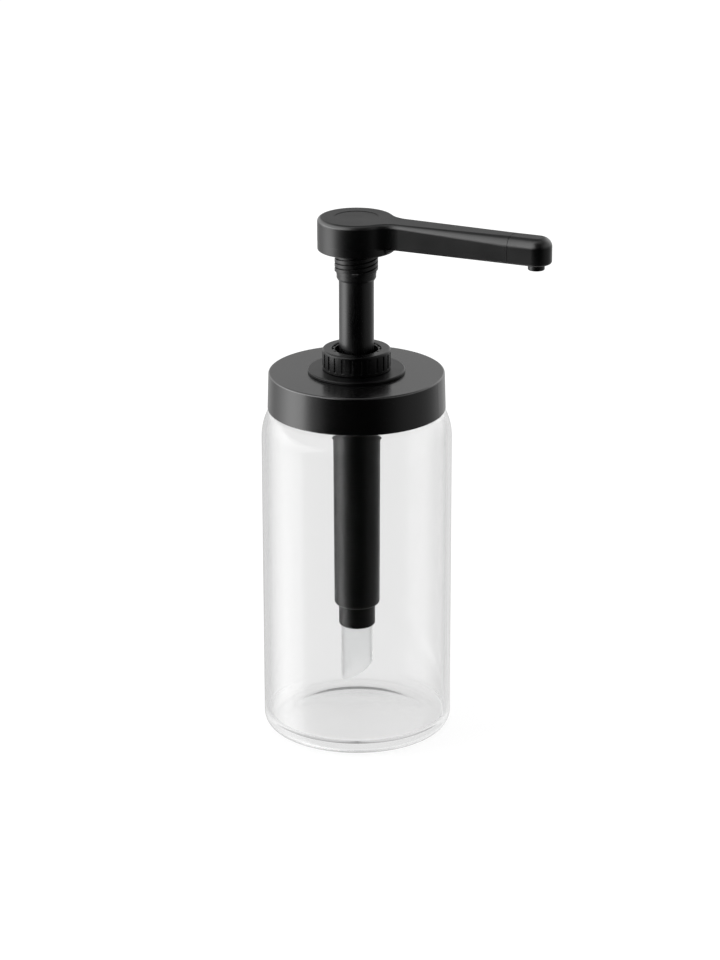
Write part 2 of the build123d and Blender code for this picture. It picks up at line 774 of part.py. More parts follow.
with BuildPart() as ball_stop:
    with BuildSketch(Plane.XY.offset(stop_bottom)):
        Circle(stem_bore_radius - press_gap)
        Circle(ball_room_radius, mode=Mode.SUBTRACT)
        Rectangle(2 * ball_room_radius + cut_overrun, cross_bar_width)
        Rectangle(cross_bar_width, 2 * ball_room_radius + cut_overrun)
    extrude(amount=stop_thickness)
save(ball_stop, "ball_stop")

# Inlet valve: a ball on the seat in the cylinder's floor, under a cage that carries the spring
inlet_ball_height = seat_height - valve_hole_radius + sqrt(2) * (inlet_ball_radius + ball_gap)
inlet_ball = ball(inlet_ball_height, inlet_ball_radius)
save(inlet_ball, "inlet_ball")

cage_bore_radius = inlet_ball_radius + cage_play
cage_bottom = floor_height + seat_gap
cage_cap_bottom = inlet_ball_height + inlet_ball_radius + inlet_ball_lift + ball_gap
with BuildPart() as valve_cage:
    with BuildSketch(Plane.XY.offset(cage_bottom)):
        Circle(chamber_radius - press_gap)
    extrude(amount=cage_ring)
    with BuildSketch(Plane.XY.offset(cage_bottom)):
        Circle(cage_bore_radius + cage_wall)
    extrude(amount=cage_cap_bottom + cage_cap - cage_bottom)
    chamfer(valve_cage.edges().group_by(Axis.Z)[-1], length=cage_chamfer)
    with BuildSketch(Plane.XY.offset(cage_bottom)):
        Circle(cage_bore_radius)
    extrude(amount=cage_cap_bottom - cage_bottom, mode=Mode.SUBTRACT)
    with BuildSketch(Plane.XY.offset(cage_bottom + cage_ring)):
        with PolarLocations(cage_bore_radius, cage_windows):
            Rectangle(2 * cage_bore_radius, cage_window_width)
    extrude(amount=cage_cap_bottom - cage_bottom - cage_ring, mode=Mode.SUBTRACT)
save(valve_cage, "valve_cage")

# Return spring: one wound wire between the cage and the piston carrier
spring_bottom = cage_bottom + cage_ring
with BuildPart() as return_spring:
    with BuildLine() as winding:
        spring_length = spring_top - spring_bottom - spring_wire - 2 * seat_gap
        Helix(
            pitch=spring_length / spring_turns,
            height=spring_length,
            radius=spring_radius,
            center=(0, 0, spring_bottom + spring_wire / 2 + seat_gap),
        )
    with BuildSketch(Plane(origin=winding.line @ 0, z_dir=winding.line % 0)):
        Circle(spring_wire / 2)
    sweep(path=winding.line, is_frenet=True)
save(return_spring, "return_spring")

print(f"The pump travels {press_travel:.2f} mm from rest to locked down.")
print(f"The spring is {spring_top - spring_bottom:.2f} mm long at rest, from {spring_bottom:.2f}.")
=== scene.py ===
# %% [markdown]
# # A pump dispenser of glass and black plastic
# The object is a clear glass jar with a black screw lid. The lid carries a hand pump: a ribbed
# collar, a hollow stem, a round press head with a long spout arm, and a slant-cut dip tube.
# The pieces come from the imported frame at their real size. This lesson gives them their finishes,
# adds the screw threads and turns the jar again as one smooth skin of glass.

# %% Load the frame
import json
from math import atan2, cos, degrees, pi, radians, sin

import bpy
from mathutils import Matrix, Vector


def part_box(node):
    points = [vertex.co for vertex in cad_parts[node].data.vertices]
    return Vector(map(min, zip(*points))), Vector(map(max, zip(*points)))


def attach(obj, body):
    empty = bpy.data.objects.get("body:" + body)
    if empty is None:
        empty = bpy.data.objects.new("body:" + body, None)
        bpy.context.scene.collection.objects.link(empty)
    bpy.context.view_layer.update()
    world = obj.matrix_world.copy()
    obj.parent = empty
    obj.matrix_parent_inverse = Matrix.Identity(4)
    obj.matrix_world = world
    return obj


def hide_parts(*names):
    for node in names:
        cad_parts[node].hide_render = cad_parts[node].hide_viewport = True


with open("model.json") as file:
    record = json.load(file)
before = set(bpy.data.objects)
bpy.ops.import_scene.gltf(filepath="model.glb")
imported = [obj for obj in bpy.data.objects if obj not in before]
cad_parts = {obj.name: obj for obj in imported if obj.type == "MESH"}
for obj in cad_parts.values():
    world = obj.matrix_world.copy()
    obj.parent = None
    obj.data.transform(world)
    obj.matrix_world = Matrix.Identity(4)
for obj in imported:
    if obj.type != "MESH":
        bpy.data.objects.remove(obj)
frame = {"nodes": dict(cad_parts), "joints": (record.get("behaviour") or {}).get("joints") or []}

MM = 0.001
scene = bpy.context.scene
nodes = frame["nodes"]
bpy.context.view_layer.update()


# %% [markdown]
# ## Reading sizes off the frame
# Every new piece has to sit on what carries it, so its place is read from the boxes of the packed
# pieces. All the round pieces share one upright axis, so a box gives a radius and two heights.
# Typed heights would work too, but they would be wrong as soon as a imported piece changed.

# %% Helpers that read a box
def bottom_of(name):
    """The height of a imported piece's lowest point."""
    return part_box(name)[0].z


def top_of(name):
    """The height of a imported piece's highest point."""
    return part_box(name)[1].z


jar_radius = -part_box("glass_jar")[0].x
mouth = top_of("glass_jar")
lid_bottom = bottom_of("screw_lid")
print(f"Jar {2 * jar_radius / MM:.1f} mm across, mouth {mouth / MM:.1f} mm up.")


# %% [markdown]
# ## The camera
# The photograph was taken with a long lens, from a little above, square to the spout arm but
# turned somewhat towards its nozzle. A long lens keeps upright lines nearly parallel, so the jar
# hardly tapers. The camera is placed by three plain directions, right, away and up, turned about
# the jar's axis. A constraint that aims it at the jar would be quicker, but it would tie the tilt
# to the height.

# %% Camera
view_turn = radians(23.7)
view_tilt = radians(19.677)
view_roll = radians(-0.103)
view_right = Vector((cos(view_turn), sin(view_turn), 0))
view_away = Vector((-sin(view_turn), cos(view_turn), 0))
camera_side = 1.513 * MM
camera_distance = 1471.9 * MM
camera_height = 650.0 * MM

lens = bpy.data.cameras.new("portrait_lens")
lens.lens = 123.36
lens.sensor_width = 36
lens.sensor_fit = "AUTO"
lens.clip_start = 0.01
lens.clip_end = 50
camera = bpy.data.objects.new("portrait_camera", lens)
scene.collection.objects.link(camera)
scene.camera = camera

forward = view_away * cos(view_tilt) - Vector((0, 0, sin(view_tilt)))
upward = view_right.cross(forward)
turned = Matrix((view_right, upward, -forward)).transposed().to_4x4()
place = view_right * camera_side - view_away * camera_distance + Vector((0, 0, camera_height))
camera.matrix_world = Matrix.Translation(place) @ turned @ Matrix.Rotation(view_roll, 4, "Z")
print("Camera at", [round(value, 3) for value in place])


# %% [markdown]
# ## Small tools for node graphs
# A finish made of patterns is a graph of nodes. It can be drawn by hand in the shader editor, but
# a script builds the same graph each time. Three helpers keep it short to write: one adds a node
# with its settings, one fills a socket, and one does a sum and returns its result.

# %% Helpers for node graphs
def add(tree, kind, **settings):
    """Add a node and set its plain properties."""
    made = tree.nodes.new(kind)
    for key, value in settings.items():
        setattr(made, key, value)
    return made


def put(tree, source, target):
    """Give a socket a value, or join it to another socket."""
    if isinstance(source, bpy.types.NodeSocket):
        tree.links.new(source, target)
    else:
        target.default_value = source


def calc(tree, operation, *values):
    """A math node on up to three values or sockets, as its result socket."""
    made = add(tree, "ShaderNodeMath", operation=operation)
    for socket, value in zip(made.inputs, values):
        put(tree, value, socket)
    return made.outputs[0]


print("Helpers for graphs: add, put and calc.")


# %% [markdown]
# ## Small tools for patterns
# Most finishes here start from a noise, a cloudy field of values round one half. Its middle part
# is spread over the range that is wanted, or swings a value a little up and down. The same noise
# on coordinates that are squeezed along the upright axis turns into upright lines.

# %% Helpers for patterns
def spread(tree, value, at_start, at_end, start, end):
    """Map a value's range from start to end onto the range from at_start to at_end."""
    made = add(tree, "ShaderNodeMapRange", clamp=True)
    ranges = {"From Min": start, "From Max": end, "To Min": at_start, "To Max": at_end}
    for key, number in ranges.items():
        made.inputs[key].default_value = number
    put(tree, value, made.inputs["Value"])
    return made.outputs["Result"]


def around(tree, value, middle, swing, start=0.3, end=0.7):
    """A middle value that a noise swings down and up."""
    return spread(tree, value, middle - swing, middle + swing, start, end)


def noise(tree, place, scale, detail=3.0, rough=0.55):
    """A noise texture's value, from 0 to 1, around 0.5."""
    made = add(tree, "ShaderNodeTexNoise")
    put(tree, place, made.inputs["Vector"])
    made.inputs["Scale"].default_value = scale
    made.inputs["Detail"].default_value = detail
    made.inputs["Roughness"].default_value = rough
    return made.outputs["Fac"]


def squeezed(tree, place, upright):
    """Coordinates with the upright one scaled down, so that a noise draws upright lines."""
    made = add(tree, "ShaderNodeMapping")
    made.inputs["Scale"].default_value = (1, 1, upright)
    put(tree, place, made.inputs["Vector"])
    return made.outputs["Vector"]


print("Helpers for patterns: spread, around, noise and squeezed.")


# %% [markdown]
# ## Small tools for finishes
# Every finish has one main shader, a colour between two close tones and a very low relief. The
# relief is a bump, because grain of a hundredth of a millimetre is much too fine to model, and
# it changes the light only and not the shape.

# %% Helpers for shader and colour
def blank(name):
    """A new material with an empty graph, and the socket that its surface goes into."""
    material = bpy.data.materials.new(name)
    material.use_nodes = True
    tree = material.node_tree
    tree.nodes.clear()
    return material, tree, add(tree, "ShaderNodeOutputMaterial").inputs["Surface"]


def finish_of(name):
    """A new material with its main shader and the piece's own coordinates."""
    material, tree, surface = blank(name)
    shader = add(tree, "ShaderNodeBsdfPrincipled")
    put(tree, shader.outputs[0], surface)
    place = add(tree, "ShaderNodeTexCoord").outputs["Object"]
    return material, tree, shader, place


def tinted(tree, shader, share, first, second):
    """Colour a shader between two tones by a share from 0 to 1."""
    tone = add(tree, "ShaderNodeMix", data_type="RGBA")
    tone.inputs["A"].default_value = (*first, 1)
    tone.inputs["B"].default_value = (*second, 1)
    put(tree, share, tone.inputs["Factor"])
    put(tree, tone.outputs["Result"], shader.inputs["Base Color"])


print("Helpers for finishes: blank, finish_of and tinted.")


# %% Helpers for relief and for a choice of two
def relief(tree, height, depth, eased=0.0):
    """Turn a height from 0 to 1 into a bumped normal, depth metres deep, with softened edges."""
    made = add(tree, "ShaderNodeBump")
    made.inputs["Distance"].default_value = depth
    put(tree, height, made.inputs["Height"])
    if eased:
        softened = add(tree, "ShaderNodeBevel", samples=6)
        softened.inputs["Radius"].default_value = eased
        put(tree, softened.outputs[0], made.inputs["Normal"])
    return made.outputs["Normal"]


def either(tree, chosen, first, second):
    """The second shader where chosen is 1, and the first where it is 0."""
    made = add(tree, "ShaderNodeMixShader")
    put(tree, chosen, made.inputs["Fac"])
    put(tree, first, made.inputs[1])
    put(tree, second, made.inputs[2])
    return made.outputs[0]


print("Helpers for finishes: relief and either.")


# %% [markdown]
# ## The studio's walls
# Black plastic shows little of its own colour. What the eye reads is the room that it mirrors: a
# bright soft box on the left, a weak one on the right, a dark front and a pale wall behind. Real
# panels round the object would show through the glass as well. So the walls are a list of
# brightnesses, each at an angle round the object that counts from the camera's side.

# %% Brightness round the studio
studio_walls = [
    (-180, 0.46), (-160, 0.80), (-132, 0.95), (-120, 1.6), (-109, 2.7), (-98, 4.3), (-88, 5.0),
    (-74, 5.0), (-68, 2.6), (-60, 1.10), (-52, 0.70), (-46, 0.42), (-40, 0.06), (-26, 0.008),
    (0, 0.010), (22, 0.015), (34, 0.06), (46, 0.14), (56, 0.26), (68, 0.36), (90, 0.44),
    (108, 0.56), (120, 0.72), (134, 0.95), (160, 0.95), (180, 0.46),
]
brightest_wall = max(brightness for angle, brightness in studio_walls)
print(f"{len(studio_walls)} stops of wall round the studio, the brightest {brightest_wall}.")


# %% [markdown]
# ## Finding the wall that a ray meets
# The world is a graph too. A mirrored ray's direction gives an angle round the object, and a
# colour ramp holds the wall's brightness at each angle. The ramp holds shares of the brightest
# wall, from 0 to 1, as colours are, and they are multiplied up again behind it. An image of a
# real studio would do the same, but then each panel couldn't be set by itself.

# %% The world and its walls
world = bpy.data.worlds.new("studio")
scene.world = world
world.use_nodes = True
world.cycles.sampling_method = "NONE"
sky = world.node_tree
sky.nodes.clear()
heading = add(sky, "ShaderNodeTexCoord").outputs["Generated"]
heading_parts = add(sky, "ShaderNodeSeparateXYZ")
put(sky, heading, heading_parts.inputs[0])
climb = heading_parts.outputs["Z"]


def along(axis):
    """How far a ray's direction points along an axis, from -1 to 1."""
    made = add(sky, "ShaderNodeVectorMath", operation="DOT_PRODUCT")
    put(sky, heading, made.inputs[0])
    made.inputs[1].default_value = axis
    return made.outputs["Value"]


def wall_towards(turned_to):
    """The brightness of the studio's wall in a direction round the object, in radians."""
    ramp = add(sky, "ShaderNodeValToRGB")
    stops = ramp.color_ramp.elements
    while len(stops) < len(studio_walls):
        stops.new(0.5)
    for stop, (angle, brightness) in zip(stops, studio_walls):
        stop.position = angle / 360 + 0.5
        stop.color = [brightness / brightest_wall] * 3 + [1]
    put(sky, calc(sky, "MULTIPLY_ADD", turned_to, 1 / (2 * pi), 0.5), ramp.inputs["Fac"])
    return calc(sky, "MULTIPLY", ramp.outputs["Color"], brightest_wall)


azimuth = calc(sky, "ARCTAN2", along(view_right), along(-view_away))
print("The walls are drawn in the world", world.name)


# %% [markdown]
# ## The walls' height
# The left soft box hangs high and leans over, so above the horizon it reaches further round, and
# rounded upper edges catch it. The walls are brighter up there and fade towards the ceiling. A
# cap on their upper part keeps a flat top from mirroring a soft box at full strength, from
# whichever side it is seen. A weak light straight overhead shows in tops seen from above.

# %% Brightness by height
box_reach = radians(30)
upper_gain = 0.8
upper = spread(sky, climb, 0.0, 1.0, start=-0.12, end=0.15)
leftward = calc(sky, "MULTIPLY", upper, calc(sky, "LESS_THAN", azimuth, 0.0))
reaching = calc(sky, "SUBTRACT", azimuth, calc(sky, "MULTIPLY", leftward, box_reach))
mirrored = calc(sky, "MAXIMUM", wall_towards(azimuth), wall_towards(reaching))
below_ceiling = spread(sky, climb, 1.0, 0.12, start=0.55, end=0.9)
mirrored = calc(sky, "MULTIPLY", mirrored, below_ceiling)
mirrored = calc(sky, "MULTIPLY", mirrored, calc(sky, "MULTIPLY_ADD", upper, upper_gain, 1.0))
top_of_wall = spread(sky, climb, 9.0, 2.4, start=0.05, end=0.24)
mirrored = calc(sky, "MINIMUM", mirrored, top_of_wall)
overhead = spread(sky, climb, 0.0, 0.5, start=0.82, end=0.97)
mirrored = calc(sky, "ADD", mirrored, overhead)
print(f"The left soft box reaches {degrees(box_reach):.0f} degrees further round above the horizon.")


# %% [markdown]
# ## What each ray sees
# The Light Path node tells rays apart, so one world can serve them all. The camera and the rays
# that go through the glass see plain white, as the photograph's background is. Mirrored rays see
# the walls, and rays that only light a rough surface get an even grey. A ray that has been
# mirrored more than twice is lost inside the glass, where it would only add dark specks, so it
# sees white too. A Background node is an 80 per cent grey unless it is told otherwise, so plain
# white is 1.25.

# %% Light by the kind of ray
even_light = 0.32
plain_white = 1.25
mirrored_once = 0.5        # Glossy Depth lies above this once a ray has been mirrored
mirrored_often = 2.5       # and above this when it has been mirrored three times or more

rays = add(sky, "ShaderNodeLightPath").outputs
unmirrored = calc(sky, "LESS_THAN", rays["Glossy Depth"], mirrored_once)
through = calc(sky, "MULTIPLY", rays["Is Transmission Ray"], unmirrored)
seen = calc(sky, "MAXIMUM", rays["Is Camera Ray"], through)
lost = calc(sky, "GREATER_THAN", rays["Glossy Depth"], mirrored_often)
white = calc(sky, "MAXIMUM", seen, lost)
unseen = calc(sky, "SUBTRACT", 1.0, white)
glossy = calc(sky, "MULTIPLY", rays["Is Glossy Ray"], unseen)
other = calc(sky, "SUBTRACT", unseen, glossy)
strength = calc(sky, "MULTIPLY", white, plain_white)
strength = calc(sky, "MULTIPLY_ADD", glossy, mirrored, strength)
strength = calc(sky, "MULTIPLY_ADD", other, even_light, strength)
backdrop = add(sky, "ShaderNodeBackground")
put(sky, strength, backdrop.inputs["Strength"])
put(sky, backdrop.outputs[0], add(sky, "ShaderNodeOutputWorld").inputs["Surface"])
print(f"The world's graph has {len(sky.nodes)} nodes.")


# %% [markdown]
# ## Lamps
# Three large area lamps light what is pale: the dip tube, the seals and the floor. A large lamp
# gives a shadow without an edge, as the photograph's is. Mirrored rays don't see the lamps,
# because the world already holds the soft boxes' reflections.

# %% Soft boxes
lamp_target = Vector((0, 0, 0.13))


def soft_box(name, turn, elevation, distance, width, depth, power):
    """An area lamp that faces the pump. turn counts in degrees from the camera's side."""
    data = bpy.data.lights.new(name, "AREA")
    data.shape = "RECTANGLE"
    data.size = width
    data.size_y = depth
    data.energy = power
    lamp = bpy.data.objects.new(name, data)
    scene.collection.objects.link(lamp)
    flat = view_right * sin(radians(turn)) - view_away * cos(radians(turn))
    aim = flat * cos(radians(elevation)) + Vector((0, 0, sin(radians(elevation))))
    lamp.location = lamp_target + aim * distance
    lamp.rotation_euler = aim.to_track_quat("Z", "Y").to_euler()
    lamp.visible_camera = False
    lamp.visible_glossy = False
    lamp.visible_transmission = False


soft_box("left_soft_box", turn=-80, elevation=24, distance=1.3, width=1.0, depth=1.3, power=22)
soft_box("right_soft_box", turn=75, elevation=28, distance=1.5, width=0.9, depth=1.2, power=8)
soft_box("overhead_soft_box", turn=180, elevation=72, distance=1.5, width=1.4, depth=1.4, power=16)
print(f"{len(bpy.data.lights)} soft boxes are up.")


# %% [markdown]
# ## The floor
# The real floor is a white sheet that runs into the background without an edge. A sheet that is
# curved up at the back, as in a studio, could be modelled, but the camera looks down so far that
# a flat one fills the whole picture. It lies a hair below the jar, so that the two don't meet in
# one plane.

# %% Floor sheet
floor_reach = 4.0
floor_drop = 0.3 * MM
floor_mesh = bpy.data.meshes.new("studio_floor")
corners = [(-floor_reach, -floor_reach, 0), (floor_reach, -floor_reach, 0),
           (floor_reach, floor_reach, 0), (-floor_reach, floor_reach, 0)]
floor_mesh.from_pydata(corners, [], [(0, 1, 2, 3)])
studio_floor = bpy.data.objects.new("studio_floor", floor_mesh)
scene.collection.objects.link(studio_floor)
studio_floor.location.z = -floor_drop
studio_floor.visible_glossy = False
print(f"The floor is {2 * floor_reach:.0f} m wide.")


# %% [markdown]
# ## The floor's paper
# The paper glows nearly white to the camera and to rays that come through the glass. The camera
# sees it a little brighter far away, so that it ends in the white background. Through the glass
# it is brightest below the jar: a painted pool of light for the light that the foot would gather
# there, which the render leaves out. It keeps a little plain colour that the lamps light, so a soft
# shadow stays. Rays that have been mirrored pass through it, because a white floor inside the
# black plastic's reflections isn't what the photograph shows.

# %% The paper's glow
under_jar = 39.0 * MM
past_jar = 46.0 * MM
paper, paper_tree, paper_surface = blank("pale_paper")
paper_rays = add(paper_tree, "ShaderNodeLightPath").outputs
paper_seen = calc(
    paper_tree, "MAXIMUM", paper_rays["Is Camera Ray"], paper_rays["Is Transmission Ray"])
paper_span = add(paper_tree, "ShaderNodeVectorMath", operation="LENGTH")
put(paper_tree, add(paper_tree, "ShaderNodeTexCoord").outputs["Object"], paper_span.inputs[0])
from_axis = paper_span.outputs["Value"]
# Painted light: a glow under the jar for the light that its foot would gather.
painted_caustic = spread(paper_tree, from_axis, 1.13, 1.0, start=under_jar, end=past_jar)
further_off = spread(paper_tree, from_axis, 0.93, 1.02, start=0.15, end=0.70)
paper_level = add(paper_tree, "ShaderNodeMix", data_type="FLOAT")
put(paper_tree, paper_rays["Is Camera Ray"], paper_level.inputs["Factor"])
put(paper_tree, painted_caustic, paper_level.inputs["A"])
put(paper_tree, further_off, paper_level.inputs["B"])
paper_light = calc(paper_tree, "MULTIPLY", paper_seen, paper_level.outputs["Result"])
paper_glow = add(paper_tree, "ShaderNodeEmission")
put(paper_tree, paper_light, paper_glow.inputs["Strength"])
print(f"Seen through the glass, the paper is brighter up to {past_jar / MM:.0f} mm from the axis.")

# %% The paper's surface
paper_grey = 0.09
paper_plain = add(paper_tree, "ShaderNodeBsdfDiffuse")
paper_plain.inputs["Color"].default_value = (paper_grey, paper_grey, paper_grey, 1)
paper_sum = add(paper_tree, "ShaderNodeAddShader")
put(paper_tree, paper_glow.outputs[0], paper_sum.inputs[0])
put(paper_tree, paper_plain.outputs[0], paper_sum.inputs[1])
paper_gone = add(paper_tree, "ShaderNodeBsdfTransparent")
met_mirrored = calc(paper_tree, "GREATER_THAN", paper_rays["Glossy Depth"], mirrored_once)
paper_shown = either(paper_tree, met_mirrored, paper_sum.outputs[0], paper_gone.outputs[0])
put(paper_tree, paper_shown, paper_surface)
floor_mesh.materials.append(paper)
print(f"The paper's graph has {len(paper_tree.nodes)} nodes.")


# %% [markdown]
# ## Painted highlights on upper edges
# Rounded upper edges get a higher shine, which paints a highlight on them, and broad flat tops get a
# lower one, which keeps a soft box's reflection off them. Painting it by place would need a flat
# unwrap of the surface. Here it follows from how far each face looks up, which puts it on every upper
# edge by itself.

# %% Shine that paints a highlight on upper edges
def edge_highlight_shine(tree, shine, edge_share, top_share):
    """A shine, times edge_share on a face that looks a little up and top_share on a level one, which
    paints a highlight on upper edges.
    """
    facing = add(tree, "ShaderNodeSeparateXYZ")
    put(tree, add(tree, "ShaderNodeTexCoord").outputs["Normal"], facing.inputs[0])
    looks_up = facing.outputs["Z"]
    edges = spread(tree, looks_up, shine, shine * edge_share, start=0.05, end=0.35)
    tops = spread(tree, looks_up, 1.0, top_share / edge_share, start=0.80, end=0.98)
    return calc(tree, "MULTIPLY", edges, tops)


# The raised shine on rounded upper edges is a painted highlight.
print("Wear raises the shine on rounded upper edges.")


# %% [markdown]
# ## Moulded black plastic
# The head, arm, collar and cylinder are injection-moulded in black polypropylene. The mould's
# spark-eroded steel leaves a very fine even grain, and the surface is a little glossier where it
# cooled first. So one noise makes the grain and a broad one moves the gloss and the colour. The
# stem and the cylinder also have faint marks up and down, from sliding and from leaving the
# mould. The collar's and the flange's edges are softened in the material, as if by the mould.

# %% Moulded black
plastic_bend = 1.49
plastic_dark = (0.0004, 0.0004, 0.0005)
plastic_pale = (0.0010, 0.0010, 0.0011)
marks_share = 0.8


def moulded_black(name, roughness, grain=2400.0, depth=0.012, drag=0.0, edge=0.0, shine=0.5,
                  edge_highlight=None):
    """Satin black plastic. drag: faint upright marks. The last argument: the shine's shares on edge
    and top, which paint a highlight.
    """
    material, tree, shader, place = finish_of(name)
    broad = noise(tree, place, scale=55.0, detail=2.0)
    share = spread(tree, broad, 0.0, 1.0, start=0.35, end=0.65)
    tinted(tree, shader, share, plastic_dark, plastic_pale)
    height = noise(tree, place, scale=grain, detail=4.0, rough=0.6)
    gloss = around(tree, broad, roughness, swing=0.035)
    if drag:
        marks = noise(tree, squeezed(tree, place, 0.02), scale=1800.0, detail=4.0, rough=0.7)
        gloss = calc(tree, "ADD", gloss, around(tree, marks, 0.0, swing=drag, start=0.25, end=0.75))
        height = calc(tree, "MULTIPLY_ADD", marks, marks_share, height)
    put(tree, gloss, shader.inputs["Roughness"])
    put(tree, relief(tree, height, depth * MM, edge * MM), shader.inputs["Normal"])
    shader.inputs["IOR"].default_value = plastic_bend
    # The shares raise the shine on upper edges to paint a highlight there, and lower it on level
    # tops.
    level = edge_highlight_shine(tree, shine, *edge_highlight) if edge_highlight else shine
    put(tree, level, shader.inputs["Specular IOR Level"])
    return material


# The head's upper edges get a painted highlight, and its flat top a lower shine.
head_black = moulded_black("head_black", 0.32, depth=0.014, shine=0.43, edge_highlight=(2.4, 0.27))
stem_black = moulded_black("stem_black", 0.28, grain=1600.0, depth=0.006, drag=0.05)
collar_black = moulded_black("collar_black", 0.27, depth=0.010, edge=0.35, shine=0.30)
cylinder_black = moulded_black("cylinder_black", 0.36, grain=1800.0, depth=0.008, drag=0.03)
flange_black = moulded_black("flange_black", 0.32, depth=0.010, edge=0.30, shine=0.24)
print("Moulded:", head_black.name, stem_black.name, collar_black.name, cylinder_black.name,
      flange_black.name)


# %% [markdown]
# ## The turned lid
# The lid has faint fine rings round its skirt and over its top, as if from a lathe. A noise that
# is squeezed hard across the rings and hardly changes along them draws them. Its place is made
# from the direction round the axis, which is smooth all the way round, and from the sum of the
# radius and the height, which steps across the rings on the skirt and on the top alike. The
# lid's upper edge gets a painted highlight too.

# %% Turned black
lid_pale = (0.0012, 0.0012, 0.0012)
rings_per_mm = 2.2
ring_depth = 0.010 * MM
least_span = 1.0 * MM


def turned_black(name, roughness):
    """Black plastic with fine rings about the upright axis."""
    material, tree, shader, place = finish_of(name)
    parts = add(tree, "ShaderNodeSeparateXYZ")
    put(tree, place, parts.inputs[0])
    x, y, z = parts.outputs
    span = calc(tree, "SQRT", calc(tree, "MULTIPLY_ADD", x, x, calc(tree, "MULTIPLY", y, y)))
    span = calc(tree, "MAXIMUM", span, least_span)
    step = calc(tree, "MULTIPLY", calc(tree, "ADD", span, z), 1.0 / MM)
    ring_place = add(tree, "ShaderNodeCombineXYZ")
    put(tree, calc(tree, "DIVIDE", x, span), ring_place.inputs[0])
    put(tree, calc(tree, "DIVIDE", y, span), ring_place.inputs[1])
    put(tree, calc(tree, "MULTIPLY", step, rings_per_mm), ring_place.inputs[2])
    rings = noise(tree, ring_place.outputs[0], scale=1.6, detail=5.0, rough=0.7)
    broad = noise(tree, place, scale=40.0, detail=2.0)
    tinted(tree, shader, spread(tree, rings, 0.0, 1.0, start=0.3, end=0.7), plastic_dark, lid_pale)
    ring_gloss = around(tree, rings, roughness, swing=0.05)
    gloss = calc(tree, "ADD", ring_gloss, around(tree, broad, 0.0, swing=0.02))
    put(tree, gloss, shader.inputs["Roughness"])
    put(tree, relief(tree, rings, ring_depth), shader.inputs["Normal"])
    shader.inputs["IOR"].default_value = plastic_bend
    # A painted highlight on the lid's upper edge.
    level = edge_highlight_shine(tree, 0.57, edge_share=2.2, top_share=1.05)
    put(tree, level, shader.inputs["Specular IOR Level"])
    return material


lid_black = turned_black("lid_black", 0.21)
print("Turned:", lid_black.name)


# %% [markdown]
# ## Clear glass
# Jar glass is clear, and its walls aren't perfect: the molten glass leaves slow waves that bend
# what is behind them. The shader refracts with the index of soda-lime glass, and a very low, slow
# relief gives the waves. Seen edge on at the foot, the glass is coloured darker: partly for the
# long way through the glass there, and partly as painted shade for the dark surroundings that the
# foot's rim shows. What the glass mirrors of the studio is kept weak, as in the photograph. A ray
# that has been mirrored more than twice inside the wall is let out, slightly dimmed, which keeps
# dark specks out of the glass.

# %% Glass
glass_clear = (0.855, 0.855, 0.855)
glass_foot_shade = (0.425, 0.425, 0.425)
glass_mirror = 0.15
glass_let_out = 0.94
glass_bend = 1.50
wave_depth = 0.10 * MM


def jar_glass(name):
    """Clear soda-lime glass with slow waves."""
    material, tree, shader, place = finish_of(name)
    upright = add(tree, "ShaderNodeSeparateXYZ")
    put(tree, place, upright.inputs[0])
    near_foot = spread(tree, upright.outputs["Z"], 1.0, 0.0, start=3.0 * MM, end=7.0 * MM)
    facing = add(tree, "ShaderNodeLayerWeight").outputs["Facing"]
    edge_on = spread(tree, facing, 0.0, 1.0, start=0.35, end=0.9)
    # Painted shade: a darker colour near the foot where the glass is seen edge on.
    tinted(tree, shader, calc(tree, "MULTIPLY", near_foot, edge_on), glass_clear, glass_foot_shade)
    shader.inputs["Transmission Weight"].default_value = 1.0
    shader.inputs["IOR"].default_value = glass_bend
    shader.inputs["Specular Tint"].default_value = (glass_mirror, glass_mirror, glass_mirror, 1)
    waves = noise(tree, squeezed(tree, place, 0.35), scale=38.0, detail=2.0, rough=0.4)
    put(tree, relief(tree, waves, wave_depth), shader.inputs["Normal"])
    smear = noise(tree, place, scale=90.0)
    put(tree, spread(tree, smear, 0.0, 0.012, start=0.45, end=0.8), shader.inputs["Roughness"])
    depth = add(tree, "ShaderNodeLightPath").outputs["Glossy Depth"]
    release = add(tree, "ShaderNodeBsdfTransparent")
    release.inputs["Color"].default_value = (glass_let_out, glass_let_out, glass_let_out, 1)
    caught = calc(tree, "GREATER_THAN", depth, mirrored_often)
    surface = either(tree, caught, shader.outputs[0], release.outputs[0])
    put(tree, surface, tree.nodes["Material Output"].inputs["Surface"])
    return material


clear_glass = jar_glass("clear_glass")
print("Glass:", clear_glass.name)


# %% [markdown]
# ## Milky tube, white plastic and silicone
# The dip tube is natural polyethylene: light goes through it, but not straight. A rough
# transmission does that, and fine lines along its length come from the die it was drawn through.
# The photograph shows no dark lines down the tube's sides, so it bends the light only a little
# and has a low index. The piston and valve parts are the same kind of plastic, moulded thicker.
# The seals are silicone.

# %% Milky plastics and silicone
cloud_shade = 0.94
least_lines = 0.006
drawn_out = 0.03


def milky(name, colour, clearness, roughness, lines=0.0, bend=1.5):
    """A translucent polymer. lines: depth in mm of marks along it. bend: its index of refraction."""
    material, tree, shader, place = finish_of(name)
    cloud = noise(tree, place, scale=140.0)
    darker = [channel * cloud_shade for channel in colour]
    tinted(tree, shader, spread(tree, cloud, 0.0, 1.0, start=0.3, end=0.7), darker, colour)
    shader.inputs["Transmission Weight"].default_value = clearness
    shader.inputs["IOR"].default_value = bend
    put(tree, around(tree, cloud, roughness, swing=0.05), shader.inputs["Roughness"])
    marks = noise(tree, squeezed(tree, place, drawn_out if lines else 1), scale=1500.0)
    put(tree, relief(tree, marks, max(lines, least_lines) * MM), shader.inputs["Normal"])
    return material


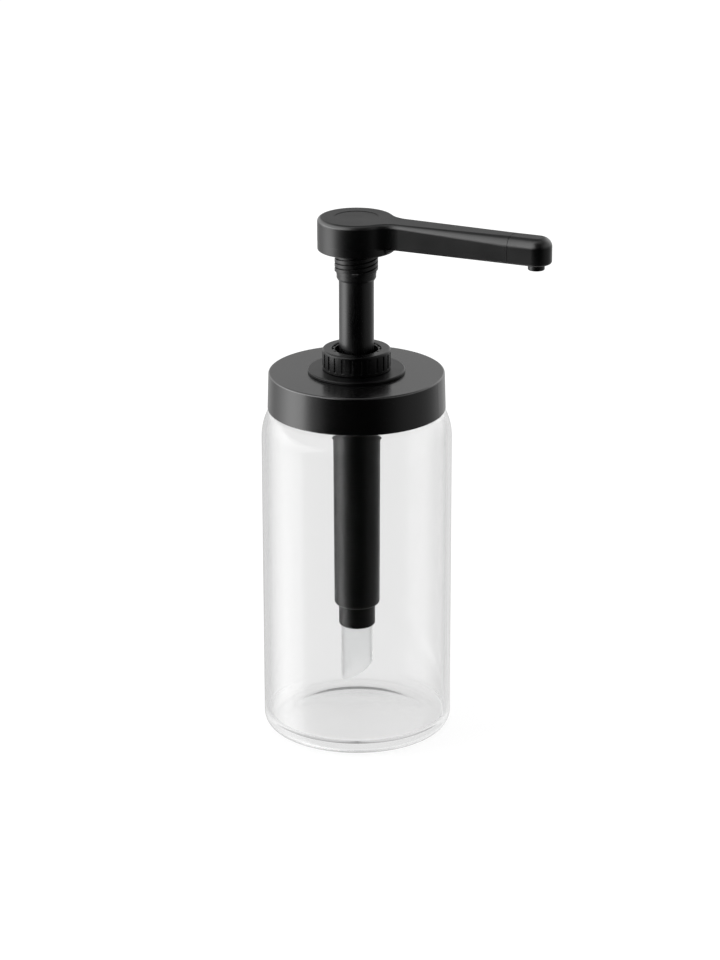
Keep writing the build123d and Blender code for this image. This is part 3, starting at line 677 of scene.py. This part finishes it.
milky_tube = milky("milky_tube", (0.985, 0.99, 0.99), 0.96, 0.50, lines=0.02, bend=1.08)
white_plastic = milky("white_plastic", (0.80, 0.81, 0.80), 0.25, 0.38)
soft_silicone = milky("soft_silicone", (0.70, 0.71, 0.70), 0.35, 0.50)
print("Milky:", milky_tube.name, white_plastic.name, soft_silicone.name)


# %% [markdown]
# ## Steel
# The spring is drawn stainless wire and the valves' balls are polished steel. Both are a metal
# shader with a fine noise in its colour and gloss, rougher on the wire than on the balls. They
# lie inside the black cylinder, so nothing finer is needed.

# %% Bright steel
steel_dark = (0.50, 0.49, 0.48)
steel_pale = (0.62, 0.61, 0.60)
scratch_depth = 0.004 * MM


def bright_steel(name, roughness):
    """Polished steel with fine scratches."""
    material, tree, shader, place = finish_of(name)
    shader.inputs["Metallic"].default_value = 1.0
    scratches = noise(tree, place, scale=900.0, detail=5.0, rough=0.7)
    share = spread(tree, scratches, 0.0, 1.0, start=0.3, end=0.7)
    tinted(tree, shader, share, steel_dark, steel_pale)
    put(tree, around(tree, scratches, roughness, swing=0.06), shader.inputs["Roughness"])
    put(tree, relief(tree, scratches, scratch_depth), shader.inputs["Normal"])
    return material


spring_steel = bright_steel("spring_steel", 0.30)
ball_steel = bright_steel("ball_steel", 0.14)
print("Steel:", spring_steel.name, ball_steel.name)


# %% [markdown]
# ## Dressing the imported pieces
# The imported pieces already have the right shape, so they only change material. Each piece gets
# the finish of the real one. Changing it slot by slot keeps the mesh as it was packed.

# %% Dress the frame
finishes = {
    head_black: ["pump_head", "spout_tip", "outlet_nozzle"],
    stem_black: ["pump_stem"],
    collar_black: ["collar", "lock_insert"],
    cylinder_black: ["pump_cylinder"],
    flange_black: ["neck_adapter", "adapter_nut"],
    lid_black: ["screw_lid"],
    milky_tube: ["dip_tube"],
    white_plastic: ["piston_carrier", "ball_stop", "valve_cage", "piston_seal"],
    soft_silicone: ["lid_seal", "adapter_washer", "neck_gasket", "tip_ring", "stem_wiper"],
    spring_steel: ["return_spring"],
    ball_steel: ["inlet_ball", "outlet_ball"],
    clear_glass: ["glass_jar"],
}
for finish, names in finishes.items():
    for name in names:
        for slot in nodes[name].material_slots:
            slot.material = finish
dressed = sum(len(names) for names in finishes.values())
print(f"{dressed} of {len(nodes)} packed pieces have their finish.")


# %% [markdown]
# ## Pieces of an outline
# A jar is a body of revolution: one outline, outside and inside, turned about the axis. The
# outline is drawn from arcs, straight lines and one eased curve, each as a row of points. More
# points go where the glass bends, and fewer on the straight walls.

# %% Arcs, straight lines and eased curves
def arc(centre, radius, start, end, steps):
    """Points of an arc in the outline's plane, angles in degrees, without the first."""
    points = []
    for index in range(1, steps + 1):
        angle = radians(start + (end - start) * index / steps)
        points.append((centre[0] + radius * cos(angle), centre[1] + radius * sin(angle)))
    return points


def straight(start, end, steps=1):
    """Points between two ends, without the first."""
    return [
        tuple(start[side] + (end[side] - start[side]) * index / steps for side in (0, 1))
        for index in range(1, steps + 1)
    ]


def eased(start, pull, end, steps):
    """Points of a curve that leaves start towards pull and arrives from it, without the first."""
    points = []
    for index in range(1, steps + 1):
        part = index / steps
        shares = ((1 - part) ** 2, 2 * part * (1 - part), part ** 2)
        points.append(tuple(
            sum(share * point[side] for share, point in zip(shares, (start, pull, end)))
            for side in (0, 1)
        ))
    return points


print("Helpers for outlines: arc, straight and eased.")


# %% [markdown]
# ## The jar's measures
# Blown glass has walls of about two millimetres, a thicker foot that is pushed up in the middle
# so that the jar stands on a ring, and a shoulder that rolls into the neck under the lid. The
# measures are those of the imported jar. From them come the middles of the arcs.

# %% Measures of the jar
wall = 2.2 * MM
floor_top = 5.0 * MM
push_up = 1.6 * MM
foot_width = 5.5 * MM
corner = 6.0 * MM
floor_corner = 4.5 * MM
shoulder_bend = 26.0 * MM
shoulder_lean = 28.0
shoulder_edge = 2.5 * MM
shoulder_height = lid_bottom - 0.3 * MM
neck_radius = jar_radius - 7.4 * MM
neck_wall = 2.4 * MM
neck_root = 0.8 * MM
lip = 1.1 * MM

inside_radius = jar_radius - wall
throat_radius = neck_radius - neck_wall
foot_outer = jar_radius - corner
foot_inner = foot_outer - foot_width
lean = radians(shoulder_lean)
shoulder_start = shoulder_height - shoulder_bend * sin(lean) - shoulder_edge * (1 - sin(lean))
shoulder_middle = (jar_radius - shoulder_bend, shoulder_start)
edge_middle = (
    shoulder_middle[0] + (shoulder_bend - shoulder_edge) * cos(lean),
    shoulder_middle[1] + (shoulder_bend - shoulder_edge) * sin(lean),
)
inner_bend = shoulder_bend - wall
dome_radius = (foot_inner ** 2 + push_up ** 2) / (2 * push_up)
dome_angle = degrees(atan2(foot_inner, dome_radius - push_up))
print(f"Shoulder from {shoulder_start / MM:.1f} mm up, neck {2 * neck_radius / MM:.1f} mm across.")


# %% [markdown]
# ## The outline
# It starts under the foot on the axis, climbs the outside to the lip, goes down the inside and
# ends on the floor's middle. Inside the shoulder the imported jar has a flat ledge, which shows as
# a dark crescent. Blown glass has no such corner, so the outline is eased across it, by less
# than a millimetre and only on the inside.

# %% Outline of the jar
ledge_rise = 2.6 * MM
throat_bottom = shoulder_height - wall + ledge_rise
ledge_bend = (neck_radius + 1.2 * MM, shoulder_height - 1.25 * MM)
inner_top = (
    inside_radius - inner_bend * (1 - cos(lean)),
    shoulder_start + inner_bend * sin(lean),
)

outline = [(0.0, push_up)]
outline += arc((0, push_up - dome_radius), dome_radius, 90, 90 - dome_angle, 20)
outline += straight(outline[-1], (foot_outer, 0), 3)
outline += arc((foot_outer, corner), corner, -90, 0, 28)
outline += straight(outline[-1], (jar_radius, shoulder_start), 24)
outline += arc(shoulder_middle, shoulder_bend, 0, shoulder_lean, 24)
outline += arc(edge_middle, shoulder_edge, shoulder_lean, 90, 14)
outline += straight(outline[-1], (neck_radius + neck_root, shoulder_height), 3)
outline += arc((neck_radius + neck_root, shoulder_height + neck_root), neck_root, 270, 180, 8)
neck_start = len(outline)
outline += straight(outline[-1], (neck_radius, mouth - lip), 80)
neck_end = len(outline)
outline += arc((neck_radius - lip, mouth - lip), lip, 0, 90, 10)
outline += straight(outline[-1], (throat_radius + lip, mouth))
outline += arc((throat_radius + lip, mouth - lip), lip, 90, 180, 10)
outline += straight(outline[-1], (throat_radius, throat_bottom), 6)
outline += eased(outline[-1], ledge_bend, inner_top, 24)
outline += arc((inside_radius - inner_bend, shoulder_start), inner_bend, shoulder_lean, 0, 24)
outline += straight(outline[-1], (inside_radius, floor_top + floor_corner), 24)
outline += arc((inside_radius - floor_corner, floor_top + floor_corner), floor_corner, 0, -90, 22)
outline += straight(outline[-1], (0, floor_top), 12)
print(f"The jar's outline has {len(outline)} points.")


# %% [markdown]
# ## The thread on the jar's neck
# A jar's thread is a rounded bead that climbs a little over one and a half times round the neck
# and fades out at both ends. It is part of the glass, so it isn't a piece that is stuck on: the
# outline is pushed out along a helix while it is turned, and the skin stays closed. The bead is
# a bump in height above its middle line, times how far along the turn it is.

# %% The bead along its helix
def ease(value):
    """A smooth step from 0 to 1."""
    value = min(max(value, 0.0), 1.0)
    return value * value * (3 - 2 * value)


jar_pitch = 4.2 * MM
jar_bead_height = 1.05 * MM
jar_bead_width = 1.15 * MM
jar_bead_start = shoulder_height + 3.6 * MM
jar_bead_turns = 1.6
jar_fade_turn = 0.08
jar_bead_crown = 0.8


def bead(angle, level):
    """How far the neck's thread stands out at an angle in turns and a height."""
    best = 0.0
    for lap in range(int(jar_bead_turns) + 1):
        turn = angle + lap
        if turn > jar_bead_turns:
            continue
        middle = jar_bead_start + jar_pitch * turn
        fade = ease(turn / jar_fade_turn) * ease((jar_bead_turns - turn) / jar_fade_turn)
        across_bead = (level - middle) / jar_bead_width
        if abs(across_bead) < 1:
            hump = (0.5 + 0.5 * cos(pi * across_bead)) ** jar_bead_crown
            best = max(best, jar_bead_height * fade * hump)
    return best


print(f"The neck's bead is {jar_bead_turns} turns long and climbs {jar_pitch / MM:.1f} mm a turn.")


# %% [markdown]
# ## From points to a smooth piece
# A list of points and a list of faces make a mesh. Smooth shading hides the steps from face to
# face, and edges where two faces meet at a steep angle stay crisp, as on the real pieces.

# %% A skin from points and faces
def skin(name, points, faces, sharp=35.0):
    """A mesh object with smooth shading and crisp edges where faces meet at a steep angle."""
    mesh = bpy.data.meshes.new(name)
    mesh.from_pydata(points, [], faces)
    mesh.validate()
    mesh.shade_smooth()
    mesh.set_sharp_from_angle(angle=radians(sharp))
    made = bpy.data.objects.new(name, mesh)
    scene.collection.objects.link(made)
    return made


print("Helper for meshes: skin.")


# %% [markdown]
# ## Turning the jar
# The Screw modifier can turn an outline too, but it can't push it out along a helix on the way.
# So the points are placed one ring after the other, and faces join each ring to the next. The
# two ends lie on the axis and close the skin. Many steps round let the glass bend light smoothly.

# %% Rings of points
steps_round = 288
jar_points = [(0.0, 0.0, outline[0][1])]
for index, (radius, level) in enumerate(outline[1:-1], 1):
    on_neck = neck_start <= index < neck_end
    for step in range(steps_round):
        turn = step / steps_round
        reach = radius + bead(turn, level) if on_neck else radius
        angle = 2 * pi * turn
        jar_points.append((reach * cos(angle), reach * sin(angle), level))
jar_points.append((0.0, 0.0, outline[-1][1]))
print(f"{len(jar_points)} points, {steps_round} in a ring.")

# %% Faces between the rings
rings = len(outline) - 2
last_ring = 1 + (rings - 1) * steps_round
tip = len(jar_points) - 1
jar_faces = []
for step in range(steps_round):
    nearby = (step + 1) % steps_round
    jar_faces.append((0, 1 + nearby, 1 + step))
    jar_faces.append((tip, last_ring + step, last_ring + nearby))
    for ring in range(rings - 1):
        here = 1 + ring * steps_round
        above = here + steps_round
        jar_faces.append((here + step, here + nearby, above + nearby, above + step))
blown_jar = skin("blown_jar", jar_points, jar_faces)
blown_jar.data.materials.append(clear_glass)
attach(blown_jar, "jar")
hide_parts("glass_jar")
print(f"The jar has {len(jar_faces)} faces.")


# %% [markdown]
# ## Screw threads in plastic
# A plastic thread is a ridge with sloping flanks and a flat crest, wound along a helix. The
# section is a short list of corners, carried round in small steps and lifted by the lead as it
# goes. At each end the ridge sinks back into the wall, as it does where a mould closes. One
# function makes every thread, because they differ only in their measures.

# %% One thread function for every thread
ridge_sink = 0.06 * MM
chamfer_share = 0.14
thread_step = 4
fewest_steps = 24
crisp_from = 30.0


def thread(name, body, finish, root, crest, low, high, pitch, widths, fade, starts=1, first=0.0):
    """A screw ridge between two heights. root and crest are radii, widths those of foot and crest."""
    foot, flat = widths
    outward = 1 if crest > root else -1
    sunk = root - outward * ridge_sink
    chamfer = chamfer_share * abs(crest - root)
    section = [
        (sunk, -foot / 2), (root, -foot / 2), (crest - outward * chamfer, -flat / 2 - chamfer / 2),
        (crest, -flat / 2 + chamfer / 2), (crest, flat / 2 - chamfer / 2),
        (crest - outward * chamfer, flat / 2 + chamfer / 2), (root, foot / 2), (sunk, foot / 2),
    ]
    size = len(section)
    lead = pitch * starts
    sweep = 360 * (high - low - foot) / lead
    steps = max(fewest_steps, int(sweep / thread_step))
    points = []
    faces = []
    for start in range(starts):
        base = len(points)
        for step in range(steps + 1):
            turned_by = sweep * step / steps
            angle = radians(first + 360 * start / starts + turned_by)
            middle = low + foot / 2 + lead * turned_by / 360
            grown = ease(turned_by / fade) * ease((sweep - turned_by) / fade)
            for radius, offset in section:
                reach = sunk + (radius - sunk) * grown
                points.append((reach * cos(angle), reach * sin(angle), middle + offset))
        for step in range(steps):
            here = base + step * size
            for side in range(size):
                beside = (side + 1) % size
                quad = (here + side, here + beside, here + size + beside, here + size + side)
                faces.append(quad if outward < 0 else quad[::-1])
        faces.append(tuple(base + side for side in range(size))[::-outward])
        faces.append(tuple(base + steps * size + side for side in range(size))[::outward])
    made = skin(name, points, faces, crisp_from)
    made.data.materials.append(finish)
    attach(made, body)
    print(f"{name}: {sweep / 360:.2f} turns, {starts} start{'s' if starts > 1 else ''}.")


# %% [markdown]
# ## The lock-down thread
# The boss under the head carries a coarse thread with wide flat crests and narrow grooves. Turned
# down, it holds the head shut for the journey. It has three starts, so it catches after a third
# of a turn at most. The ridges' slope and spacing are those of the grooves in the photograph.

# %% Boss thread
boss_bottom = bottom_of("pump_head") + 2.85 * MM
boss_top = boss_bottom + 11.55 * MM
boss_overlap = 0.6 * MM
boss_radius = 9.4 * MM
boss_crest = 10.15 * MM
lock_pitch = 2.2 * MM
lock_ridge = 1.85 * MM
lock_flat = 1.45 * MM
lock_starts = 3
lock_first = 33.0
lock_fade = 45.0
thread(
    "lock_thread", "head", head_black, boss_radius, boss_crest, boss_bottom, boss_top + boss_overlap,
    lock_pitch, (lock_ridge, lock_flat), fade=lock_fade, starts=lock_starts, first=lock_first,
)


# %% [markdown]
# ## The insert's thread
# The insert in the collar carries thin ridges inside its bore, which run in the boss's grooves.
# Their place is worked out for the head at the bottom of its travel, where the two threads meet:
# half a pitch above the boss's ridges, and turned by as much as the helix climbs up to there.

# %% Insert thread
lock_bore = 10.3 * MM
groove_crest = 9.72 * MM
groove_ridge = 0.55 * MM
groove_flat = 0.26 * MM
groove_fade = 12.0
groove_top = top_of("lock_insert") - 2.4 * MM
press_travel = next(
    joint["range_m"][1] for joint in frame["joints"] if joint["name"] == "pump_press"
)
boss_shut = boss_bottom - press_travel
groove_low = boss_shut + lock_pitch / 2 + 0.3 * MM
groove_rise = groove_low + groove_ridge / 2 - (boss_shut + lock_ridge / 2 + lock_pitch / 2)
thread(
    "insert_thread", "pump", collar_black, lock_bore, groove_crest,
    groove_low, groove_top, lock_pitch, (groove_ridge, groove_flat), fade=groove_fade,
    starts=lock_starts, first=lock_first + 360 * groove_rise / (lock_starts * lock_pitch),
)


# %% [markdown]
# ## The lid's, neck's and collar's threads
# The lid's own thread sits between the beads of the jar's. The threaded neck on the lid and the
# collar that screws over it are a smaller pair of the same kind. Each pair is half a pitch out of
# step with its mate, so ridge faces groove. A box doesn't show what is inside a piece, so these
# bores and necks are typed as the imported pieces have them.

# %% Lid thread
skirt_inside = 39.85 * MM
skirt_crest = 38.05 * MM
skirt_widths = (1.7 * MM, 0.7 * MM)
skirt_low = jar_bead_start + jar_pitch / 2 - 0.75 * MM
skirt_high = jar_bead_start + jar_pitch * 1.75
single_fade = 25.0
thread(
    "lid_thread", "lid", lid_black, skirt_inside, skirt_crest, skirt_low, skirt_high,
    jar_pitch, skirt_widths, fade=single_fade,
)

# %% Neck and collar threads
screw_neck = 13.0 * MM
screw_neck_crest = 13.6 * MM
collar_bore = 13.95 * MM
collar_crest = 13.35 * MM
flange_top = bottom_of("collar") - 0.2 * MM
neck_top = bottom_of("neck_gasket") - 0.1 * MM
thread_low = flange_top + 0.7 * MM
neck_high = neck_top - 0.4 * MM
collar_high = neck_top + 0.9 * MM
neck_pitch = 2.6 * MM
neck_widths = (1.1 * MM, 0.4 * MM)
collar_widths = (1.0 * MM, 0.36 * MM)
thread(
    "neck_thread", "lid", flange_black, screw_neck, screw_neck_crest, thread_low, neck_high,
    neck_pitch, neck_widths, fade=single_fade,
)
thread(
    "collar_thread", "collar", collar_black, collar_bore, collar_crest,
    thread_low + neck_pitch / 2, collar_high, neck_pitch, collar_widths, fade=single_fade,
)


# %% [markdown]
# ## The end
# The last line sets the view transform to Standard.

# %% Finish
scene.view_settings.view_transform = "Standard"
